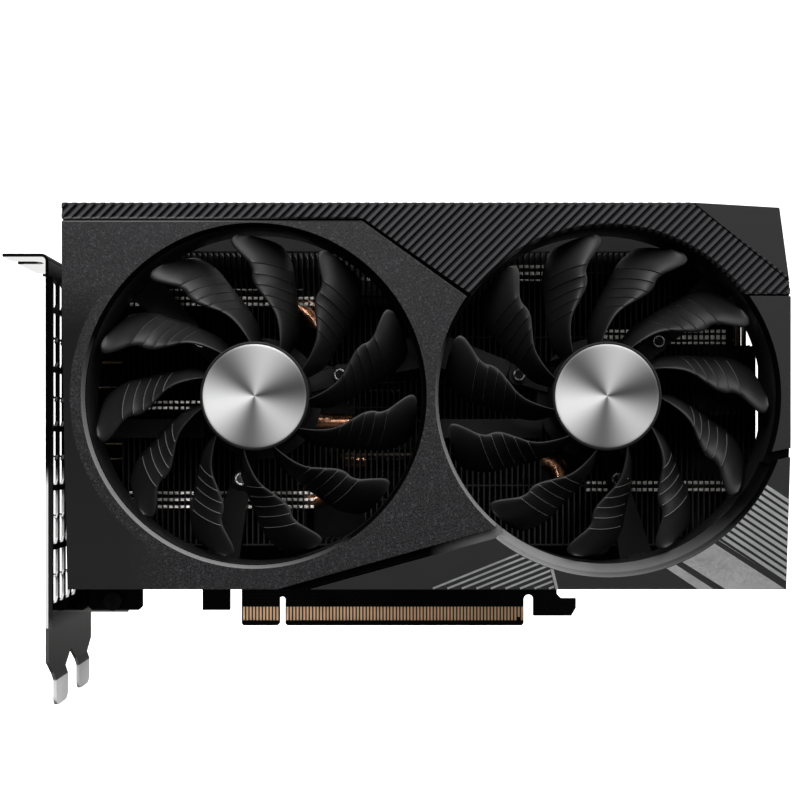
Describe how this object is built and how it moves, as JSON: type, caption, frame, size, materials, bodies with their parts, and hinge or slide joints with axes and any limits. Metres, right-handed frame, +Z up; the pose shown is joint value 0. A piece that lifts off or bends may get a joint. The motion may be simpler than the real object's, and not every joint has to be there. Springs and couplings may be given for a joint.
{
  "type": "graphics card",
  "caption": "Graphics card: a finned cooler under a black shroud with free-turning axial fans, a slotted steel bracket and a gold-fingered edge connector.",
  "frame": {"origin": "centre of the key notch of the edge connector, on the bottom of the contact edge, in the middle of the board's thickness", "axes": "+X along the card from the bracket to the tail, +Y out of the board's solder side towards the backplate (the fans face -Y), +Z up from the contact edge"},
  "size_m": [0.2095, 0.0391, 0.1348],
  "materials": {
    "textured_shroud": "fine sparkle grain, satin",
    "shroud_black": "black, satin",
    "ribbed_shroud": "ribbed, satin",
    "smooth_shroud": "smooth, satin",
    "foil": "silver hot-stamped foil",
    "backplate": "black powder coat",
    "screw_black": "black zinc",
    "screw_steel": "nickel plated",
    "board": "black solder mask over glass-epoxy laminate",
    "gold": "gold flash",
    "bracket": "bright nickel",
    "port_shell": "gold-coloured plating",
    "socket_black": "black nylon",
    "terminals": "tin plated",
    "substrate": "green laminate",
    "die": "polished silicon",
    "chip": "moulded epoxy",
    "pad": "soft thermal pad",
    "ferrite": "pressed ferrite",
    "can": "bare can",
    "base": "milled",
    "copper": "bare copper",
    "fins": "black coating",
    "spring": "spring steel",
    "fan_frame": "black, satin",
    "winding": "enamelled copper on laminated steel",
    "bronze": "sintered bronze",
    "shaft": "ground",
    "magnet": "bonded ferrite",
    "fan_blades": "black, satin gloss",
    "cap": "spun brushed"
  },
  "bodies": {
    "card": {"shroud_frame": "shroud_black", "main_panel": "textured_shroud", "ribbed_panel": "ribbed_shroud", "tail_panel": "smooth_shroud", "lower_panel": "smooth_shroud", "foil_stripes": "foil", "backplate": "backplate", "backplate_screws": "screw_black", "pcb": "board", "edge_contacts": "gold", "bracket": "bracket", "bracket_screws": "screw_steel", "hdmi_ports": "port_shell", "displayport_ports": "port_shell", "power_connector": "socket_black", "power_pins": "terminals", "gpu_substrate": "substrate", "gpu_die": "die", "memory_chips": "chip", "memory_pads": "pad", "chokes": "ferrite", "power_stages": "chip", "capacitors": "can", "base_plate": "base", "heat_pipes": "copper", "fin_stack": "fins", "cooler_spring": "spring", "cooler_screws": "screw_steel", "left_fan_base": "fan_frame", "left_stator": "winding", "left_bearing": "bronze", "right_fan_base": "fan_frame", "right_stator": "winding", "right_bearing": "bronze", "fan_screws": "screw_steel"},
    "left_rotor_body": {"left_rotor": "fan_blades", "left_hub_cap": "cap", "left_magnet": "magnet", "left_shaft": "shaft"},
    "right_rotor_body": {"right_rotor": "fan_blades", "right_hub_cap": "cap", "right_magnet": "magnet", "right_shaft": "shaft"}
  },
  "joints": [
    {"name": "left_fan_spin", "type": "hinge", "parent": "card", "child": "left_rotor_body", "pos_m": [-0.0038, -0.0282, 0.0668], "axis": [0, 1, 0], "continuous": true},
    {"name": "right_fan_spin", "type": "hinge", "parent": "card", "child": "right_rotor_body", "pos_m": [0.0904, -0.0282, 0.0668], "axis": [0, 1, 0], "continuous": true}
  ]
}
